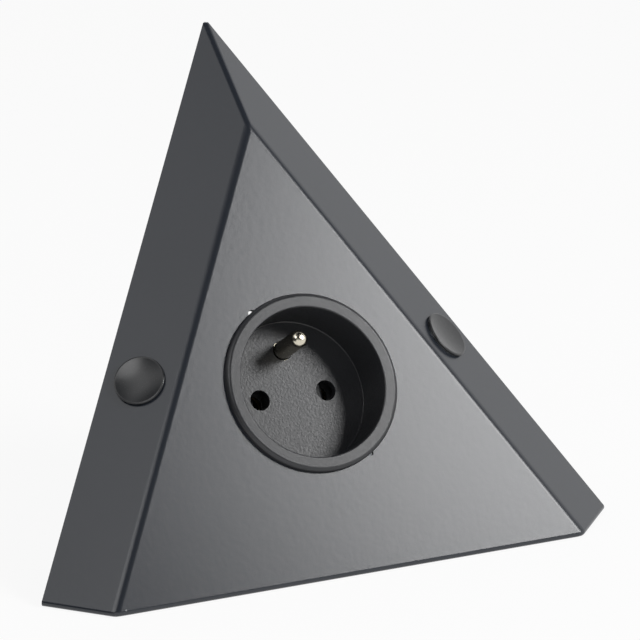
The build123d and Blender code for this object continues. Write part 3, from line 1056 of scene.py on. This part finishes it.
@dataclass
class Screw:
    """A machine or thread forming screw along Z, with its head above Z = 0."""

    node: str
    radius: float
    length: float
    head_radius: float
    head_height: float
    head_edge: float
    pitch: float
    thread_depth: float
    slot_width: float = 0.8
    slot_depth: float = 0.6
    cross_span: float = 0.0
    cross_taper: float = 0.6
    slot_overrun: float = 1.1
    flank_slope: float = 1.25
    root_flat: float = 0.125
    pitch_steps: int = 12
    cutter_rise: float = 1.0
    steps: int = 60

    def reach(self, radius: float, height: float, angle: float) -> float:
        """Gives the shank its thread, which fades in at both ends.

        Args:
            radius: a point's distance from the axis without the thread.
            height: its height.
            angle: its angle about the axis, in radians.

        Returns:
            Its distance from the axis with the thread.
        """
        if height >= 0 or radius < self.radius - TINY:
            return radius
        phase = (height / self.pitch - angle / (2 * math.pi)) % 1
        ramp = min(1.0, -height / self.pitch, (self.length + height) / self.pitch)
        # From the middle of the root to the middle of the crest, both of which stay a little flat
        flank = min(phase, 1 - phase) * 2
        groove = max(0.0, 1 - max(flank * self.flank_slope - self.root_flat, 0.0))
        return radius - self.thread_depth * groove * max(ramp, 0.0)

    def slot(self) -> Profile:
        """Draws the slot or cross that takes the driver.

        Returns:
            Its outline.
        """
        narrow = self.slot_width / 2
        if not self.cross_span:
            wide = self.head_radius * self.slot_overrun
            return [(-wide, -narrow), (wide, -narrow), (wide, narrow), (-wide, narrow)]
        wide = self.cross_span / 2
        quarter = [(wide, -narrow), (wide, narrow), (narrow, narrow)]
        outline: Profile = []
        for _ in range(4):
            outline += quarter
            quarter = [(-y, x) for x, y in quarter]
        return outline

    def build(self, place: Matrix) -> Piece:
        """Makes the screw in its place.

        Args:
            place: where the underside of its head lies, with Z towards its top.

        Returns:
            The finished screw.
        """
        rows = math.ceil(self.length / self.pitch * self.pitch_steps)
        head = rounded(
            [
                (0, self.head_height, 0),
                (self.head_radius, self.head_height, self.head_edge),
                (self.head_radius, 0, 0),
                (self.radius, 0, 0),
            ]
        )
        shank = [(self.radius, -self.length * row / rows) for row in range(1, rows + 1)]
        form = lathe(head + shank + [(0, -self.length)], self.steps, self.reach)
        piece = settle(form, f"threaded_{self.node}", place)
        taper = self.cross_taper if self.cross_span else 1.0
        floor = self.head_height - self.slot_depth
        cut(piece, prism(self.slot(), floor, self.head_height + self.cutter_rise, taper), place)
        return stand_for(piece, ZINC, self.node)


@dataclass
class Fasteners:
    """The screws behind the socket and in the flanks, with the places of their heads."""

    case_circle: float = 17.4
    case_angles: tuple[float, ...] = (30, 150, 270)
    case_seat: float = -38.4
    terminals: tuple[str, ...] = ("left", "right", "earth")
    terminal_seat: float = -36.7
    cup_floor: float = -2.8
    cup_edge: float = 0.1

    def case_screws(self) -> list[Piece]:
        """Makes the three screws that hold the cover and the carrier to the socket.

        Returns:
            The screws.
        """
        pieces = []
        for number, angle in enumerate(self.case_angles, start=1):
            screw = Screw(
                f"case_screw_{number}",
                radius=1.4,
                length=23.1,
                head_radius=2.7,
                head_height=1.6,
                head_edge=0.35,
                pitch=1.0,
                thread_depth=0.32,
            )
            across = self.case_circle * math.cos(math.radians(angle))
            up = self.case_circle * math.sin(math.radians(angle))
            place = PLANES.on_plate(across, up) @ Matrix.Translation((0, 0, self.case_seat))
            pieces.append(screw.build(place @ Matrix.Rotation(math.pi, 4, "X")))
        return pieces

    def terminal_screws(self) -> list[Piece]:
        """Makes the three screws that clamp the wires.

        Returns:
            The screws.
        """
        pieces = []
        for word in self.terminals:
            node = f"terminal_screw_{word}"
            screw = Screw(
                node,
                radius=1.3,
                length=3.4,
                head_radius=2.4,
                head_height=1.2,
                head_edge=0.2,
                pitch=0.45,
                thread_depth=0.2,
            )
            low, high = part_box(node)
            middle = (low + high) / 2
            out = (middle - PLANES.on_plate().to_translation()).dot(PLANES.plate_normal)
            seat = middle + PLANES.plate_normal * (self.terminal_seat * MM - out)
            place = axes_at(seat / MM, Vector((1, 0, 0)), -PLANES.plate_normal)
            pieces.append(screw.build(place))
        return pieces

    def housing_screws(self) -> list[Piece]:
        """Makes the two screws that hold the housing to its brackets, sunk in their cups.

        Returns:
            The screws.
        """
        pieces = []
        for side in Side:
            screw = Screw(
                f"housing_screw_{side.word}",
                radius=2.0,
                length=8.0,
                head_radius=3.7,
                head_height=2.2,
                head_edge=0.9,
                pitch=0.7,
                thread_depth=0.35,
                slot_width=0.9,
                slot_depth=1.1,
                cross_span=3.6,
            )
            place = PLANES.on_flank(side) @ Matrix.Translation((0, 0, self.cup_floor))
            pieces.append(screw.build(place))
        return pieces

    def build(self) -> list[Piece]:
        """All eight screws, and the cups that two of them are sunk in."""
        cups = [dress(f"screw_cup_{side.word}", ZINC, self.cup_edge) for side in Side]
        return self.case_screws() + self.terminal_screws() + self.housing_screws() + cups


@dataclass
class FlankCap:
    """The dished cap that closes a screw cup, with its heights measured from the flank's face."""

    radius: float = 6.7
    seat: float = 0.35
    top: float = 1.05
    edge: float = 0.14
    rim: float = 0.4
    rim_round: float = 0.35
    dish: float = 0.6
    dish_steps: int = 40
    back: float = 0.3
    skirt_radius: float = 4.45
    skirt_wall: float = 0.5
    skirt_end: float = -0.55
    skirt_edge: float = 0.15
    arc_steps: int = 8

    def dished(self, radius: float) -> float:
        """Height of the dish at a distance from the axis."""
        share = min(radius / (self.radius - self.rim), 1.0)
        return self.top - self.dish * (1 - share**2)

    def build(self) -> list[Piece]:
        """Moulds a cap for each flank.

        Returns:
            The two caps.
        """
        inner = self.radius - self.rim
        dish = []
        for step in range(self.dish_steps + 1):
            radius = inner * step / self.dish_steps
            dish.append((radius, self.dished(radius)))
        rest = rounded(
            [
                (inner, self.top, 0),
                (self.radius, self.top, self.rim_round),
                (self.radius, self.seat, self.edge),
                (self.skirt_radius, self.seat, 0),
                (self.skirt_radius, self.skirt_end, self.skirt_edge),
                (self.skirt_radius - self.skirt_wall, self.skirt_end, self.skirt_edge),
                (self.skirt_radius - self.skirt_wall, self.seat - self.back, 0),
                (0, self.seat - self.back, 0),
            ],
            self.arc_steps,
        )
        pieces = []
        for side in Side:
            piece = settle(lathe(dish + rest[1:]), f"dished_cap_{side.word}", PLANES.on_flank(side))
            pieces.append(stand_for(piece, CAP_BLACK, f"cap_{side.word}"))
        return pieces


@dataclass(frozen=True)
class Cloth:
    """A round black cloth that only gloss shows, with the degrees where it is full and where it ends."""

    azimuth: float
    elevation: float
    full: float
    end: float

    def shade(self, nodes: Nodes, towards: Output) -> Output:
        """Marks the directions that the cloth covers.

        Args:
            nodes: the world's nodes.
            towards: the direction that is looked in.

        Returns:
            An output that is 1 in the middle of the cloth and 0 beyond its edge.
        """
        middle = stand(self.azimuth, self.elevation).col[2]
        near = nodes.add("VectorMath", {0: towards, 1: middle}, operation="DOT_PRODUCT")
        edge = (math.cos(math.radians(self.end)), math.cos(math.radians(self.full)))
        return nodes.remap(near.outputs["Value"], edge, interpolation_type="SMOOTHSTEP")


@dataclass(frozen=True)
class SoftLamp:
    """A round soft lamp that looks at the socket, in degrees, metres and watts."""

    name: str
    azimuth: float
    elevation: float
    distance: float
    size: float
    power: float

    def hang(self) -> None:
        """Hangs the lamp in its place."""
        lamp = bpy.data.lights.new(self.name, "AREA")
        lamp.shape = "DISK"
        lamp.size = self.size
        lamp.energy = self.power
        hung = bpy.data.objects.new(self.name, lamp)
        axes = stand(self.azimuth, self.elevation)
        middle = PLANES.on_plate().to_translation()
        hung.matrix_world = Matrix.Translation(middle + axes.col[2] * self.distance) @ axes.to_4x4()
        bpy.context.scene.collection.objects.link(hung)


@dataclass
class Studio:
    """A pale floor, a white room with black cloths, a soft key lamp and two weaker ones."""

    floor_colour: str = "#f4f4f4"
    floor_side: float = 3000.0
    floor_cells: int = 24
    floor_drop: float = 0.02
    floor_glow: float = 0.9
    ambient: float = 0.37
    cloths: tuple[Cloth, ...] = (
        Cloth(azimuth=30.0, elevation=62.0, full=35.0, end=50.0),
        Cloth(azimuth=-145.0, elevation=48.0, full=14.0, end=29.0),
        Cloth(azimuth=-72.0, elevation=14.0, full=24.0, end=38.0),
        Cloth(azimuth=-38.0, elevation=33.0, full=10.0, end=19.0),
    )
    lamps: tuple[SoftLamp, ...] = (
        SoftLamp("key", azimuth=46.0, elevation=36.0, distance=1.1, size=0.468, power=6.3),
        SoftLamp("fill", azimuth=-53.0, elevation=49.0, distance=1.1, size=0.5, power=1.8),
        SoftLamp("side", azimuth=-86.0, elevation=60.0, distance=1.5, size=0.6, power=0.35),
    )

    def light_room(self) -> None:
        """Makes the room white to the camera and in gloss but for the cloths, and dimmer as light."""
        world = bpy.data.worlds.new("white_room")
        world.use_nodes = True
        nodes = Nodes(world.node_tree)
        towards = nodes.add("TexCoord").outputs["Generated"]
        dark = nodes.any_of([cloth.shade(nodes, towards) for cloth in self.cloths])
        hidden = nodes.reckon("MULTIPLY", dark, nodes.add("LightPath").outputs["Is Glossy Ray"])
        room = nodes.remap(self.seen(nodes), (0.0, 1.0), (self.ambient, 1.0))
        strength = nodes.add("Mix", {"Factor": hidden, "A": room, "B": 0.0}).outputs["Result"]
        white = world.node_tree.nodes["Background"]
        nodes.fill(white, {"Color": linear(WHITE), "Strength": strength})
        bpy.context.scene.world = world

    def seen(self, nodes: Nodes) -> Output:
        """Marks where a surface is seen, mirrored or looked at through glass.

        Args:
            nodes: the nodes of the world or of the floor's material.

        Returns:
            An output that is 1 there and 0 where the surface only sheds light.
        """
        path = nodes.add("LightPath")
        kinds = ("Is Camera Ray", "Is Glossy Ray", "Is Transmission Ray")
        return nodes.any_of([path.outputs[kind] for kind in kinds])

    def lay_floor(self) -> None:
        """Lays the floor, which glows white and still takes the unit's shadow."""
        form = bmesh.new()
        cells = self.floor_cells
        bmesh.ops.create_grid(form, x_segments=cells, y_segments=cells, size=self.floor_side / 2)
        under = Matrix.Translation((0, 0, -self.floor_drop * MM))
        floor = settle(form, "floor", under @ Matrix.Scale(MM, 4))
        made = bpy.data.materials.new("pale_floor")
        made.use_nodes = True
        made.node_tree.nodes.clear()
        nodes = Nodes(made.node_tree)
        matt = nodes.add("BsdfDiffuse", {"Color": linear(self.floor_colour)})
        glow = nodes.add("Emission", {"Color": linear(WHITE), "Strength": 1.0})
        share = nodes.reckon("MULTIPLY", self.seen(nodes), self.floor_glow)
        mixed = nodes.add("MixShader", {0: share, 1: matt.outputs[0], 2: glow.outputs[0]})
        nodes.add("OutputMaterial", {"Surface": mixed.outputs[0]})
        floor.data.materials.append(made)

    def build(self) -> None:
        """Sets the room, the floor and the lamps, and the plain view of their light."""
        self.light_room()
        self.lay_floor()
        for lamp in self.lamps:
            lamp.hang()
        bpy.context.scene.view_settings.view_transform = "Standard"


@dataclass
class Camera:
    """A long lens at the photograph's viewing angle, with its angles in degrees."""

    aim: tuple[float, float, float] = (4.07, -15.53, 59.14)
    azimuth: float = -26.281
    elevation: float = 19.166
    roll: float = 0.923
    distance: float = 1106.0
    lens: float = 241.25
    shift_x: float = 0.0018
    shift_y: float = -0.0025
    sees_to: float = 10000.0

    def build(self) -> None:
        """Stands the camera in its place and makes it the scene's own."""
        data = bpy.data.cameras.new("camera")
        data.lens = self.lens
        data.shift_x = self.shift_x
        data.shift_y = self.shift_y
        data.clip_end = self.sees_to * MM
        camera = bpy.data.objects.new("camera", data)
        axes = stand(self.azimuth, self.elevation)
        turned = axes @ Matrix.Rotation(math.radians(self.roll), 3, "Z")
        place = (Vector(self.aim) + axes.col[2] * self.distance) * MM
        camera.matrix_world = Matrix.Translation(place) @ turned.to_4x4()
        bpy.context.scene.collection.objects.link(camera)
        bpy.context.scene.camera = camera


def main() -> None:
    """Sets the camera and the studio, then builds every sub-assembly in order."""
    logging.basicConfig(level=logging.INFO, format="%(message)s")
    Camera().build()
    Studio().build()
    assemblies = (Housing(), Socket(), EarthPin(), ShutterSpring(), CableGrommet(), Fasteners(), FlankCap())
    for assembly in assemblies:
        for piece in assembly.build():
            LOG.info("%s: %s has %d faces", type(assembly).__name__, piece.name, len(piece.data.polygons))


if __name__ == "__main__":
    main()
